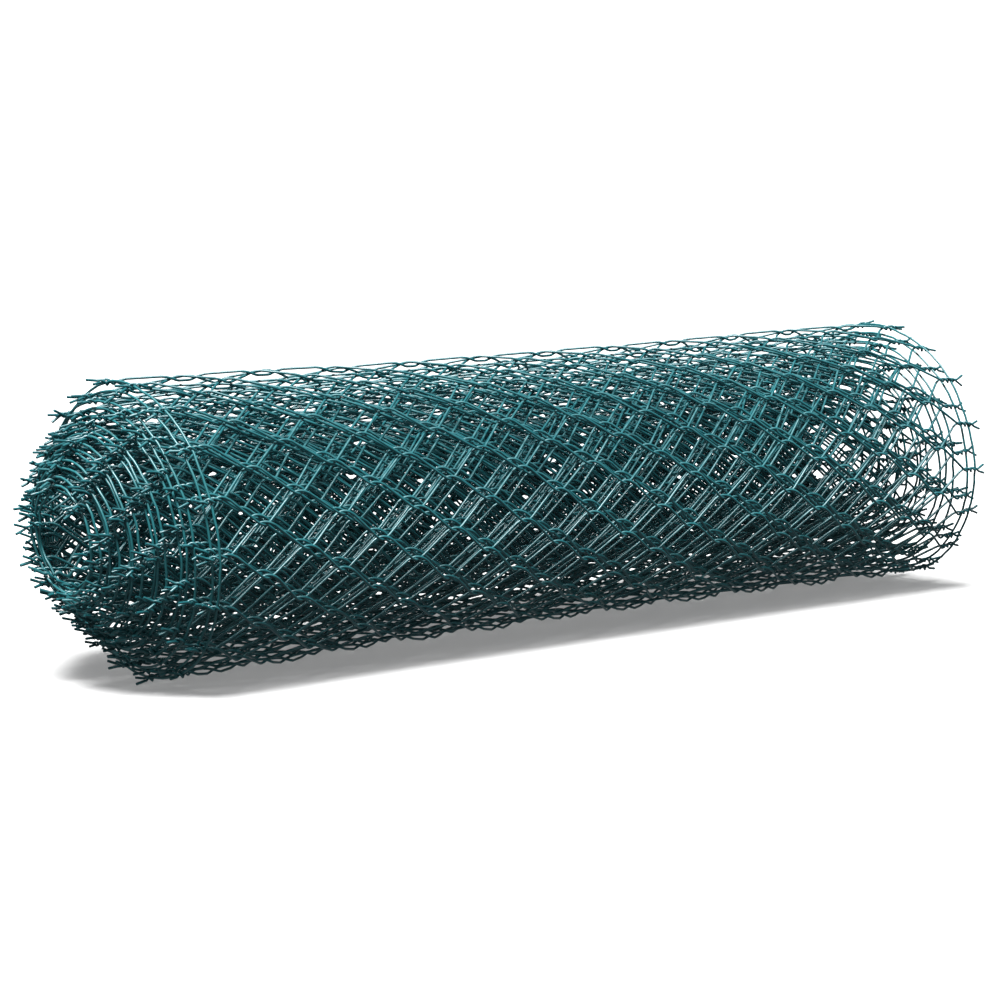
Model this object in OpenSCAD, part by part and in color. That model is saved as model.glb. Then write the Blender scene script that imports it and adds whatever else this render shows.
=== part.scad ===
// Roll of chain-link wire fencing lying on its side: netting wound from the bore outwards,
// with one edge wire threaded through the twisted wire ends along each side of the fence.
// The axis of the roll runs along X and the roll rests on the plane z = 0.

/* [Fence] */
// Height of the fence over its twisted ends, which is the length of one turn along the roll
fence_height = 1000; // [600:10:1500]
// Diameter of the coated wire
wire_d = 2.5; // [2:0.1:4]
// Reach of the twisted wire ends past the netting, the edge wire included
barb_length = 24; // [16:1:36]
// Thickness of one layer of netting, strands and bends pressed together
layer_thickness = 4; // [3:0.5:6]

/* [Roll] */
// Outside diameter of the roll
roll_d = 276; // [220:2:400]
// Diameter of the open bore along the middle of the roll
bore_d = 64; // [40:2:90]
// Number of turns from the bore to the outside
turns = 17; // [5:1:18]
// How far the innermost turn stands out past the outermost one, because the roll is loosely wound
end_stagger = 84; // [0:2:110]
// Depth of the open gap between one turn and the next, seen on both ends
gap_depth = 24; // [10:1:60]
// Angle that the roll has turned on the floor until its weight lies lowest
rest_turn = 35; // [0:1:60]

/* [Edge wires] */
// Clearance between the edge wire and the turn that it lies along
wire_seat = 0.3; // [0.1:0.1:1]
// Straight pieces in half a turn of the edge wire
wire_steps = 10; // [6:1:16]
// Sides of the edge wire's section
wire_sides = 6; // [5:1:8]

/* [Hidden] */

netting_green = [0.02, 0.33, 0.32];
edge_green = [0.03, 0.40, 0.38];
turned_fn = 96;
// Room cut past both ends of the bore, so that the cut goes right through
cut_past = 10;

roll_r = roll_d/2;
bore_r = bore_d/2;
half_turns = 2*turns;
// The netting's own ends, without the twisted wire ends that stand out past them
netting_half = fence_height/2 - barb_length;
last_r = roll_r - layer_thickness/2;
// The two halves of the winding share these steps, so they are rounded to meet exactly
function rounded(length) = round(1000*length)/1000;
// The radius grows by this much with each half turn, about two centres that lie as far apart
half_step = rounded((last_r - bore_r - layer_thickness)/(half_turns - 1));
first_r = last_r - half_step*(half_turns - 1);
// The winding shifts by this much along the axis with each half turn
stagger_step = rounded(end_stagger/half_turns);

// Mid radius of a half turn, counted from the bore
function turn_r(i) = first_r + i*half_step;
// Even half turns lie above the axis and odd ones below it, where the outermost rests
function turn_y(i) = i % 2 == 0 ? -half_step : 0;
// How far the winding stands out to the left at a place counted in half turns
function stagger(t) = stagger_step*(half_turns/2 - t);
// The innermost turn's two halves end together, so that the bore's wall is as long all round
function turn_left(i) = -netting_half - stagger(max(i, 1) + 1);
function turn_right(i) = netting_half - stagger(i < 2 ? 0 : i);

// Section of the half turns on one side of the axis: a wall for each turn, and the packed
// netting between one turn and the next, set back from the ends so that the gaps show
module turn_section(side) {
    for (i = [side : 2 : half_turns - 1]) {
        inner_r = i < 2 ? bore_r/2 : turn_r(i) - layer_thickness/2;
        translate([inner_r, turn_left(i)])
            square([turn_r(i) + layer_thickness/2 - inner_r, turn_right(i) - turn_left(i)]);
    }
    for (i = [side + 2 : 2 : half_turns - 1]) {
        gap_left = turn_left(i) + gap_depth;
        gap_right = turn_right(i - 2) - gap_depth;
        translate([turn_r(i - 2), gap_left])
            square([turn_r(i) - turn_r(i - 2), gap_right - gap_left]);
    }
}

// Half of the winding, turned about its own centre
module half_roll(side) {
    translate([turn_y(side), 0, 0])
        rotate([0, 0, 180*side])
            rotate_extrude(angle = 180, $fn = turned_fn)
                turn_section(side);
}

// Sets the winding, made about the X axis, down on the floor, turned to where it comes to rest
module at_rest() {
    translate([0, -half_step*(1 - cos(rest_turn))/2, roll_r])
        rotate([rest_turn, 0, 0])
            children();
}

// The netting, one long piece wound up, with its open bore
module netting_roll() {
    bore_length = 2*netting_half + end_stagger + 2*cut_past;
    color(netting_green)
        at_rest()
            rotate([0, 90, 0])
                rotate([0, 0, 90])
                    difference() {
                        union() {
                            half_roll(0);
                            half_roll(1);
                        }
                        translate([-half_step/2, 0, -bore_length/2])
                            cylinder(h = bore_length, r = bore_r, $fn = turned_fn);
                    }
}

// Centre of the edge wire at a step along its winding, on the left (-1) or the right (1) end
function wire_point(k, end) =
    let (
        t = k/wire_steps,
        i = min(floor(t), half_turns - 1),
        a = 180*t,
        r = turn_r(i),
        x = end*(netting_half + wire_seat + wire_d/2) - stagger(t)
    )
    [x, turn_y(i) + r*cos(a), r*sin(a)];

// Ring of the edge wire's section at a step, square to the winding's direction there
function wire_ring(k, end) =
    let (a = 180*k/wire_steps, c = wire_point(k, end))
    [for (j = [0 : wire_sides - 1])
        let (b = 360*j/wire_sides)
        c + wire_d/2*[cos(b), sin(b)*cos(a), sin(b)*sin(a)]];

// The edge wire, wound along with the netting and held by its twisted ends
module line_wire(end) {
    last_step = half_turns*wire_steps;
    points = [for (k = [0 : last_step]) each wire_ring(k, end)];
    start_face = [[for (j = [0 : wire_sides - 1]) j]];
    end_face = [[for (j = [wire_sides - 1 : -1 : 0]) last_step*wire_sides + j]];
    sides = [
        for (k = [0 : last_step - 1], j = [0 : wire_sides - 1])
            let (
                n = (j + 1) % wire_sides,
                here = k*wire_sides,
                next = here + wire_sides
            )
            each [[here + j, next + j, next + n], [here + j, next + n, here + n]]
    ];
    polyhedron(points = points, faces = concat(start_face, end_face, sides));
}

module line_wire_left() {
    color(edge_green)
        at_rest()
            line_wire(-1);
}

module line_wire_right() {
    color(edge_green)
        at_rest()
            line_wire(1);
}

netting_roll();
line_wire_left();
line_wire_right();
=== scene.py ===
import math
import random

import bpy
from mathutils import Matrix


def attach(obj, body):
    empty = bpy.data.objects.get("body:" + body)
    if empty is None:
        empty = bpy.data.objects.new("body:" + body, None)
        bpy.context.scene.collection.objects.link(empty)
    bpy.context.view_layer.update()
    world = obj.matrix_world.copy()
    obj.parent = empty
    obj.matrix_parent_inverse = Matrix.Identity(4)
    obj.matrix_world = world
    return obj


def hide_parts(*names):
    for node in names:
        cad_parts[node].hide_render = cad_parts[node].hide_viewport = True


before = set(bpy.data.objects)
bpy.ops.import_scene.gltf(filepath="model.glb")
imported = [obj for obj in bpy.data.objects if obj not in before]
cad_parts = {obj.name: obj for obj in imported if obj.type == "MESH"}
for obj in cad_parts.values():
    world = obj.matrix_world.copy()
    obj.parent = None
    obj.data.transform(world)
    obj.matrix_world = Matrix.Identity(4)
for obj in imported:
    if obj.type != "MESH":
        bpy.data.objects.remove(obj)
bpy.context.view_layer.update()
scene = bpy.context.scene
dice = random.Random(11)
print("frame loaded")


# small tools

def deselect():
    bpy.ops.object.select_all(action="DESELECT")


def makeActive(piece):
    deselect()
    piece.select_set(True)
    bpy.context.view_layer.objects.active = piece


def applyAll(piece):
    makeActive(piece)
    for name in [m.name for m in piece.modifiers]:
        bpy.ops.object.modifier_apply(modifier=name)


def between(pair):
    return dice.uniform(*pair)


class Shade:
    # wraps a socket, so that shader maths reads as plain sums
    def __init__(self, tree, socket=None):
        self.tree = tree
        self.socket = socket

    def add(self, kind, settings, sockets, out=0):
        node = self.tree.nodes.new("ShaderNode" + kind)
        for key, value in settings.items():
            setattr(node, key, value)
        for key, value in sockets.items():
            if isinstance(value, Shade):
                self.tree.links.new(value.socket, node.inputs[key])
            else:
                node.inputs[key].default_value = value
        return Shade(self.tree, node.outputs[out]) if len(node.outputs) else None

    def maths(self, operation, first, second):
        return self.add("Math", {"operation": operation}, {0: first, 1: second})

    def __add__(self, other):
        return self.maths("ADD", self, other)

    def __radd__(self, other):
        return self.maths("ADD", other, self)

    def __sub__(self, other):
        return self.maths("SUBTRACT", self, other)

    def __rsub__(self, other):
        return self.maths("SUBTRACT", other, self)

    def __mul__(self, other):
        return self.maths("MULTIPLY", self, other)

    def __rmul__(self, other):
        return self.maths("MULTIPLY", other, self)

    def ramped(self, ends):
        # 0 up to the first end and 1 from the second on
        sockets = {"Value": self, "From Min": ends[0], "From Max": ends[1]}
        return self.add("MapRange", {"clamp": True}, sockets)

    def mixed(self, first, second):
        # colour mix with this value as its factor: 6 and 7 are the colour sockets
        return self.add("Mix", {"data_type": "RGBA"}, {0: self, 6: first, 7: second}, 2)


def newMaterial(name):
    material = bpy.data.materials.new(name)
    material.use_nodes = True
    tree = material.node_tree
    tree.nodes.clear()
    return material, Shade(tree)


def finishMaterial(shade, settings):
    surface = shade.add("BsdfPrincipled", {}, settings)
    shade.add("OutputMaterial", {}, {"Surface": surface})


# materials

coating = dict(
    deep=(0.003, 0.066, 0.080, 1),
    fresh=(0.012, 0.130, 0.145, 1),
    # pale grey of the dust on what faces up, partly a painted highlight
    dustAndSheenColour=(0.20, 0.27, 0.265, 1),
    batchScale=7.0,
    batchShare=0.9,
    mottleScale=140.0,
    mottleShare=0.5,
    toneDrop=0.2,
    toneEnds=(0.15, 0.85),
    # painted highlight: the edge wires' tone is lifted lighter, standing in for the light they catch
    edgePaintedHighlight=0.35,
    grainScale=1500.0,
    grainStrength=0.25,
    grainDepth=0.0002,
    # share, facing and patches of the dust and painted highlight on what faces up
    dustAndSheenShare=0.16,
    dustAndSheenFacing=(0.1, 1.0),       # from steep to level
    dustAndSheenPatches=(0.42, 0.68),
    roughness=0.29,
    mottleRoughness=0.16,
    dustRoughness=0.8,
    gloss=1.63,
)


def coatedWire(name, paintedHighlight):
    s = coating
    material, shade = newMaterial(name)
    place = shade.add("TexCoord", {}, {}, 3)
    normal = shade.add("NewGeometry", {}, {}, 1)
    batch = shade.add("TexNoise", {}, {"Vector": place, "Scale": s["batchScale"], "Detail": 2.0})
    mottle = shade.add("TexNoise", {}, {"Vector": place, "Scale": s["mottleScale"], "Detail": 3.0})
    grain = shade.add("TexNoise", {}, {"Vector": place, "Scale": s["grainScale"], "Detail": 2.0})
    up = shade.add("SeparateXYZ", {}, {"Vector": normal}, 2)
    # for the edge wires the tone is lifted by a painted highlight
    tone = batch * s["batchShare"] + mottle * s["mottleShare"] - s["toneDrop"] + paintedHighlight
    plastic = tone.ramped(s["toneEnds"]).mixed(s["deep"], s["fresh"])
    # a film of dust on what faces up, broken by the mottling; the pale grey it lays on the upward faces
    # is partly a painted highlight on the top strands
    dustAndSheen = up.ramped(s["dustAndSheenFacing"]) * mottle.ramped(s["dustAndSheenPatches"]) * s["dustAndSheenShare"]
    colour = dustAndSheen.mixed(plastic, s["dustAndSheenColour"])
    rough = mottle * s["mottleRoughness"] + dustAndSheen * s["dustRoughness"] + s["roughness"]
    relief = {"Strength": s["grainStrength"], "Distance": s["grainDepth"], "Height": grain}
    bump = shade.add("Bump", {}, relief)
    finishMaterial(shade, {"Base Color": colour, "Roughness": rough, "Normal": bump, "IOR": s["gloss"]})
    return material


steel = dict(
    bright=(0.62, 0.64, 0.63, 1),
    dull=(0.30, 0.30, 0.29, 1),
    markScale=900.0,
    markEnds=(0.3, 0.7),
    roughness=0.25,
    markRoughness=0.3,
)


def cutSteel(name):
    s = steel
    material, shade = newMaterial(name)
    place = shade.add("TexCoord", {}, {}, 3)
    marks = shade.add("TexNoise", {}, {"Vector": place, "Scale": s["markScale"], "Detail": 3.0})
    colour = marks.ramped(s["markEnds"]).mixed(s["dull"], s["bright"])
    rough = marks * s["markRoughness"] + s["roughness"]
    finishMaterial(shade, {"Base Color": colour, "Metallic": 1.0, "Roughness": rough})
    return material


nettingCoat = coatedWire("nettingCoat", 0.0)
# the edge wires get a lighter copy of the netting's coat: a painted highlight
edgeCoatPaintedHighlight = coatedWire("edgeCoatPaintedHighlight", coating["edgePaintedHighlight"])
wireEnds = cutSteel("wireEnds")
print("materials made")


# winding that the netting follows, as seen from above while the fence stands on its edge

winding = dict(
    turns=17.6,
    innerRadius=0.0360,
    outerRadius=0.1320,
    looseTurns=5.0,      # the outer turns lie further apart than the inner ones
    looseStep=0.0068,
    tailAngle=35.0,      # degrees from the back, over the top
    stagger=0.081,       # the core stands out this far past the outermost turn
    staggerCurve=1.5,
    slip=0.0035,         # turns slid along each other, in a wave over a few turns
    slipTurns=3.1,
    pointsPerTurn=120,
    unevenGap=(0.0004, 0.31, 2.0),   # waves in the radius: height, number in a turn, start
    oval=(0.0012, 2.0, 0.8),
    kinks=(0.0006, 7.3, 0.4),
    sag=0.0008,          # the weight opens the outer turns at the top and closes them below
    sagCurve=6,
    looseTop=0.0012,     # the outermost turn lifts off at the top
    looseWidth=45.0,     # degrees
)


def windingAngle(turn):
    # from the back, over the top
    return math.radians(winding["tailAngle"]) + (turn - winding["turns"]) * 2 * math.pi


def wave(name, angle):
    height, number, start = winding[name]
    return height * math.sin(number * angle + start)


def windingRadius(turn):
    s = winding
    share = turn / s["turns"]
    angle = turn * 2 * math.pi
    looseWound = max(0, turn - s["turns"] + s["looseTurns"])
    middleRadius = s["outerRadius"] - s["looseTurns"] * s["looseStep"]
    tightStep = (middleRadius - s["innerRadius"]) / (s["turns"] - s["looseTurns"])
    radius = s["innerRadius"] + (turn - looseWound) * tightStep + looseWound * s["looseStep"]
    radius += wave("unevenGap", angle) + share * wave("oval", angle) + wave("kinks", angle)
    radius += s["sag"] * share ** s["sagCurve"] * math.sin(windingAngle(turn))
    # 90 degrees over the floor is the top, in the last turn
    top = s["turns"] - 1 + (90 - s["tailAngle"]) / 360
    away = (turn - top) * 360 / s["looseWidth"]
    return radius + s["looseTop"] * math.exp(-away * away)


def windingShift(turn):
    s = winding
    share = turn / s["turns"]
    slip = s["slip"] * math.sin(2 * math.pi * turn / s["slipTurns"])
    return s["stagger"] * (share ** s["staggerCurve"] - 0.5) + slip


def windingPoint(turn):
    angle = windingAngle(turn)
    radius = windingRadius(turn)
    return (-radius * math.sin(angle), radius * math.cos(angle), windingShift(turn))


def drawCurve(name, runs, radius=0.0):
    deselect()
    bpy.ops.object.add(type="CURVE", location=(0, 0, 0))
    piece = bpy.context.object
    piece.name = name
    data = piece.data
    data.dimensions = "3D"
    data.twist_mode = "Z_UP" if radius == 0 else "MINIMUM"
    for run in runs:
        spline = data.splines.new("POLY")
        spline.points.add(len(run) - 1)
        for point, (x, y, z) in zip(spline.points, run):
            point.co = (x, y, z, 1)
    if radius:
        data.bevel_depth = radius
        data.bevel_resolution = 1
        data.use_fill_caps = True
        makeActive(piece)
        bpy.ops.object.convert(target="MESH")
        piece = bpy.context.object
    return piece


steps = round(winding["turns"] * winding["pointsPerTurn"])
route = [windingPoint(winding["turns"] * i / steps) for i in range(steps + 1)]
guide = drawCurve("windingGuide", [route])
routeLength = sum(math.dist(a, b) for a, b in zip(route, route[1:]))
print("winding drawn, %.3f m" % routeLength)


# one panel of netting, flat: x along the fence, y through it, z up

netting = dict(
    strands=22,          # in one wire, from edge to edge of the fence
    strandRise=0.0421,
    wirePitch=0.0234,
    hook=0.0026,         # hooked bends reach this far past each other
    bend=0.24,           # share of a strand in each bend
    standOff=0.0023,     # strands stand off the middle of the layer
    wireRadius=0.0012,
    stops=(0.0, 0.06, 0.13, 0.22, 0.78, 0.87, 0.94),   # points of a strand, most of them in its bends
    wander=(0.0011, 0.0006, 0.0013),                   # of a crossing, in x, y and z
    panelWires=18,       # an even number, so that panels join
    panels=21,
    pieces=7,
    smoothAngle=75.0,    # the rims of cut ends are sharper than this
)
barb = dict(
    radius=0.0014,
    opened=0.0011,       # the twist opens round the edge wire
    openedTurns=0.25,    # over this share of a turn, either way
    pitch=0.0130,
    seat=0.75,           # turns of the twist below the edge wire
    turns=(1.25, 1.75),
    pointsPerTurn=8,
    fork=(0.0065, 0.0115),       # length of a tine
    forkStops=(0.3, 0.65, 1.0),
    spread=(10, 38),     # degrees
    lean=0.14,
    outward=0.35,        # what is left of a lean or a fork away from the roll
)

wires = netting["panelWires"]
halfHeight = netting["strands"] * netting["strandRise"] / 2


def shaken(amounts):
    return tuple(dice.gauss(0, a) for a in amounts)


# how far each hooked crossing lies off its place
offsets = [[shaken(netting["wander"]) for _ in range(netting["strands"] + 1)] for _ in range(wires)]


def inward(y):
    return y if y > 0 else y * barb["outward"]


def newBarb():
    # length and lean of one twist, and its two tines
    return dict(
        turns=between(barb["turns"]),
        lean=(dice.gauss(0, barb["lean"]), inward(dice.gauss(0, barb["lean"]))),
        forks=[(between(barb["fork"]), math.radians(between(barb["spread"]))) for _ in range(2)],
    )


barbs = [newBarb() for _ in range(wires)]


def crossing(wire, level):
    # even wires start at their left side and odd ones at their right
    side = -1 if (wire + level) % 2 == 0 else 1
    node = wire if side > 0 else wire - 1
    dx, dy, dz = offsets[node % wires][level]
    reach = (netting["wirePitch"] + netting["hook"]) / 2
    x = wire * netting["wirePitch"] + side * reach + dx
    return side, node, (x, dy, level * netting["strandRise"] - halfHeight + dz)


def strandShape(u):
    # share of the way across, and height off the layer, round at both bends
    b = netting["bend"]
    v = min(u, 1 - u)
    if v < b:
        across = v * v / (2 * b) / (1 - b)
        off = netting["standOff"] * math.sin(math.pi / 2 * v / b)
    else:
        across = (v - b / 2) / (1 - b)
        off = netting["standOff"]
    return (across if u <= 0.5 else 1 - across), off


def barbRun(wire, level, up):
    # twisted end beyond a crossing, then one tine of the fork
    side, node, (x, y, z) = crossing(wire, level)
    look = barbs[node % wires]
    baseX = x - side * netting["hook"] / 2
    leanX, leanY = look["lean"]
    turn = 0 if side > 0 else math.pi
    count = round(look["turns"] * barb["pointsPerTurn"])
    run = []
    for i in range(1, count + 1):
        along = i * barb["pitch"] / barb["pointsPerTurn"]
        angle = turn + up * 2 * math.pi * i / barb["pointsPerTurn"]
        past = (along / barb["pitch"] - barb["seat"]) / barb["openedTurns"]
        radius = barb["radius"] + barb["opened"] * math.exp(-past * past)
        out = (math.cos(angle), math.sin(angle))
        run.append((
            baseX + leanX * along + radius * out[0],
            y + leanY * along + radius * out[1],
            z + up * along,
        ))
    length, spread = look["forks"][0 if side > 0 else 1]
    lastX, lastY, lastZ = run[-1]
    for share in barb["forkStops"]:
        sideways = length * share * math.sin(spread)
        run.append((
            lastX + out[0] * sideways + leanX * length * share,
            lastY + inward(out[1]) * sideways + leanY * length * share,
            lastZ + up * length * share * math.cos(spread),
        ))
    return run


def wireRun(wire):
    last = netting["strands"]
    run = list(reversed(barbRun(wire, 0, -1)))
    for level in range(last):
        side, _, start = crossing(wire, level)
        _, _, end = crossing(wire, level + 1)
        for u in netting["stops"]:
            across, off = strandShape(u)
            run.append((
                start[0] + (end[0] - start[0]) * across,
                start[1] + (end[1] - start[1]) * u + side * off,
                start[2] + (end[2] - start[2]) * u,
            ))
    run.append(crossing(wire, last)[2])
    return run + barbRun(wire, last, 1)


def coatWire(piece, coat):
    # bare steel on the cut ends, the only faces with more than four corners
    piece.data.materials.append(coat)
    piece.data.materials.append(wireEnds)
    for face in piece.data.polygons:
        face.material_index = 1 if len(face.vertices) > 4 else 0


panel = drawCurve("nettingPanel", [wireRun(i) for i in range(wires)], netting["wireRadius"])
coatWire(panel, nettingCoat)
print("panel woven,", len(panel.data.polygons), "faces")


# roll the panels up and lay the roll down

panelLength = wires * netting["wirePitch"]
firstWire = routeLength - netting["panels"] * panelLength
rolled = []
loose = dict(
    length=1.10,         # of the cage
    width=0.30,
    swell=(1.128, 1.054, 1.032, 1.042, 1.090),   # thicker at the ends than in the middle
    slant=(0.028, 0.009, 0.0, 0.008, 0.024),     # the bottom lies further right than the top
)


def looseCage():
    s = loose
    deselect()
    bpy.ops.object.add(type="LATTICE", location=(0, 0, 0))
    cage = bpy.context.object
    cage.data.points_u = len(s["swell"])
    corner = cage.data.points[-1].co
    cage.scale = (s["length"] / corner.x / 2, s["width"] / corner.y / 2, s["width"] / corner.z / 2)
    for i, point in enumerate(cage.data.points):
        section = i % len(s["swell"])
        swell = s["swell"][section]
        slant = s["slant"][section] / cage.scale.x * point.co.z / corner.z
        point.co_deform = (point.co.x - slant, point.co.y * swell, point.co.z * swell)
    bpy.context.view_layer.update()
    return cage


cage = looseCage()


def rollUp(piece):
    bend = piece.modifiers.new("roll", "CURVE")
    bend.object = guide
    bend.deform_axis = "POS_X"
    applyAll(piece)
    piece.rotation_euler = (0, math.pi / 2, 0)
    bpy.ops.object.transform_apply(location=True, rotation=True, scale=True)
    swell = piece.modifiers.new("loosen", "LATTICE")
    swell.object = cage
    applyAll(piece)
    bpy.ops.object.shade_smooth_by_angle(angle=math.radians(netting["smoothAngle"]))
    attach(piece, "root")
    rolled.append(piece)


def layDown():
    lowest = min(vertex.co.z for piece in rolled for vertex in piece.data.vertices)
    for piece in rolled:
        makeActive(piece)
        piece.location.z = -lowest
        bpy.ops.object.transform_apply(location=True, rotation=False, scale=False)


perPiece = netting["panels"] // netting["pieces"]
for i in range(netting["pieces"]):
    piece = panel.copy()
    piece.data = panel.data.copy()
    piece.name = "nettingStretch%d" % (i + 1)
    scene.collection.objects.link(piece)
    makeActive(piece)
    piece.location.x = firstWire + i * perPiece * panelLength
    bpy.ops.object.transform_apply(location=True, rotation=False, scale=False)
    rows = piece.modifiers.new("wires", "ARRAY")
    rows.count = perPiece
    rows.use_relative_offset = False
    rows.use_constant_offset = True
    rows.constant_offset_displace = (panelLength, 0, 0)
    rollUp(piece)
    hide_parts("netting_roll")
    print(piece.name, len(piece.data.polygons), "faces")
bpy.data.objects.remove(panel)


# edge wires, threaded through the twists

edge = dict(
    step=0.0075,
    wander=(0.00015, 0.0003),    # through the layer, and along the roll
    overhang=0.012,
)


def edgeWire(name, end, node):
    s = edge
    count = int((routeLength - firstWire + s["overhang"]) / s["step"])
    level = end * (halfHeight + barb["pitch"] * barb["seat"])
    run = []
    for i in range(count + 1):
        along = firstWire - s["overhang"] + i * s["step"]
        dy, dz = shaken(s["wander"])
        run.append((along, dy, level + dz))
    piece = drawCurve(name, [run], netting["wireRadius"])
    coatWire(piece, edgeCoatPaintedHighlight)
    rollUp(piece)
    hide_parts(node)
    print(name, len(piece.data.polygons), "faces")


edgeWire("edgeWireLeft", -1, "line_wire_left")
edgeWire("edgeWireRight", 1, "line_wire_right")
layDown()
bpy.data.objects.remove(guide)
bpy.data.objects.remove(cage)


# floor and backdrop in one sweep

stage = dict(
    size=40.0,
    cells=60,
    flatRadius=5.0,
    rise=0.0156,         # times the square of the way past the flat part
    pale=(0.50, 0.50, 0.50, 1),
    warm=(0.48, 0.48, 0.475, 1),
    cloudScale=1.5,
    roughness=0.75,
    cloudRoughness=0.1,
    glow=0.22,
)


def paleFloor():
    s = stage
    deselect()
    bpy.ops.mesh.primitive_grid_add(size=s["size"], x_subdivisions=s["cells"], y_subdivisions=s["cells"])
    floor = bpy.context.object
    floor.name = "paleFloor"
    for corner in floor.data.vertices:
        beyond = max(0, math.hypot(corner.co.x, corner.co.y) - s["flatRadius"])
        corner.co.z = s["rise"] * beyond * beyond
    bpy.ops.object.shade_smooth()
    # the floor shows and shades, but throws no light up at the roll
    floor.visible_diffuse = False
    floor.visible_glossy = False
    material, shade = newMaterial("palePaint")
    place = shade.add("TexCoord", {}, {}, 3)
    cloud = shade.add("TexNoise", {}, {"Vector": place, "Scale": s["cloudScale"], "Detail": 2.0})
    colour = cloud.mixed(s["pale"], s["warm"])
    rough = cloud * s["cloudRoughness"] + s["roughness"]
    lit = {"Emission Color": (1, 1, 1, 1), "Emission Strength": s["glow"]}
    finishMaterial(shade, {"Base Color": colour, "Roughness": rough} | lit)
    floor.data.materials.append(material)


# camera at the photo's angle, and soft studio light

view = dict(
    yaw=38.2,
    elevation=8.2,
    lens=118.0,
    sensor=36.0,
    distance=3.25,
    farthest=200.0,
    target=(0.0003, 0.0214, 0.1270),
)


def viewDirection():
    yaw = math.radians(view["yaw"])
    rise = math.radians(view["elevation"])
    return (math.cos(rise) * math.sin(yaw), math.cos(rise) * math.cos(yaw), -math.sin(rise))


def placeCamera():
    ahead = viewDirection()
    spot = [t - a * view["distance"] for t, a in zip(view["target"], ahead)]
    tilt = math.radians(90 - view["elevation"])
    turn = -math.radians(view["yaw"])
    deselect()
    bpy.ops.object.camera_add(location=spot, rotation=(tilt, 0, turn))
    camera = bpy.context.object
    camera.data.lens = view["lens"]
    camera.data.sensor_width = view["sensor"]
    camera.data.clip_end = view["farthest"]
    scene.camera = camera


light = dict(
    towards=(-0.28, -0.19, 0.94),
    strength=10.9,
    spread=24.0,
    ambient=0.19,
    sky=(0.94, 0.97, 1, 1),
)


def placeLight():
    x, y, z = light["towards"]
    deselect()
    turn = (math.atan2(math.hypot(x, y), z), 0, math.atan2(y, x) + math.pi / 2)
    bpy.ops.object.light_add(type="SUN", location=light["towards"], rotation=turn)
    lamp = bpy.context.object
    lamp.name = "softKey"
    lamp.data.energy = light["strength"]
    lamp.data.angle = math.radians(light["spread"])
    world = bpy.data.worlds.new("paleRoom")
    scene.world = world
    world.use_nodes = True
    background = world.node_tree.nodes["Background"]
    background.inputs["Color"].default_value = light["sky"]
    background.inputs["Strength"].default_value = light["ambient"]


paleFloor()
placeCamera()
placeLight()
scene.view_settings.view_transform = "Standard"
print("stage set")
